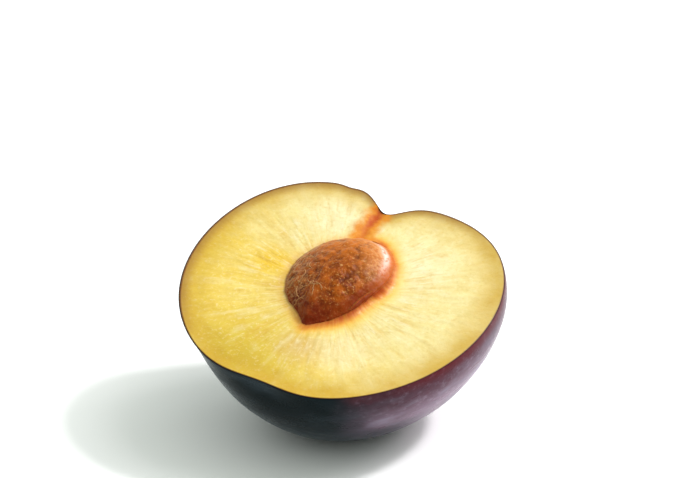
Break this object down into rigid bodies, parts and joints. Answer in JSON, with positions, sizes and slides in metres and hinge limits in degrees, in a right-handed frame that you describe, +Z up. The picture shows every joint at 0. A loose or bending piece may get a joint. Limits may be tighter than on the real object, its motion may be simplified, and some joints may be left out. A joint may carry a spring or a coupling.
{
  "type": "halved plum",
  "caption": "Half of a dark-skinned plum lying cut face up, with stem cavity, blossom dimple and its pointed, pitted stone still seated in the pale flesh.",
  "frame": {"origin": "on the surface that the half rests on, under the middle of its bounding box", "axes": "+Z up; the cut face leans 17 degrees towards -Y; the stem end points to +Y and 31 degrees to +X of it"},
  "size_m": [0.0568, 0.0542, 0.0328],
  "materials": {
    "flesh": "wet, translucent",
    "skin": "satin with a light bloom",
    "stone": "wet, pitted"
  },
  "bodies": {
    "root": {"plum_half": "flesh", "stone": "stone"}
  },
  "joints": []
}
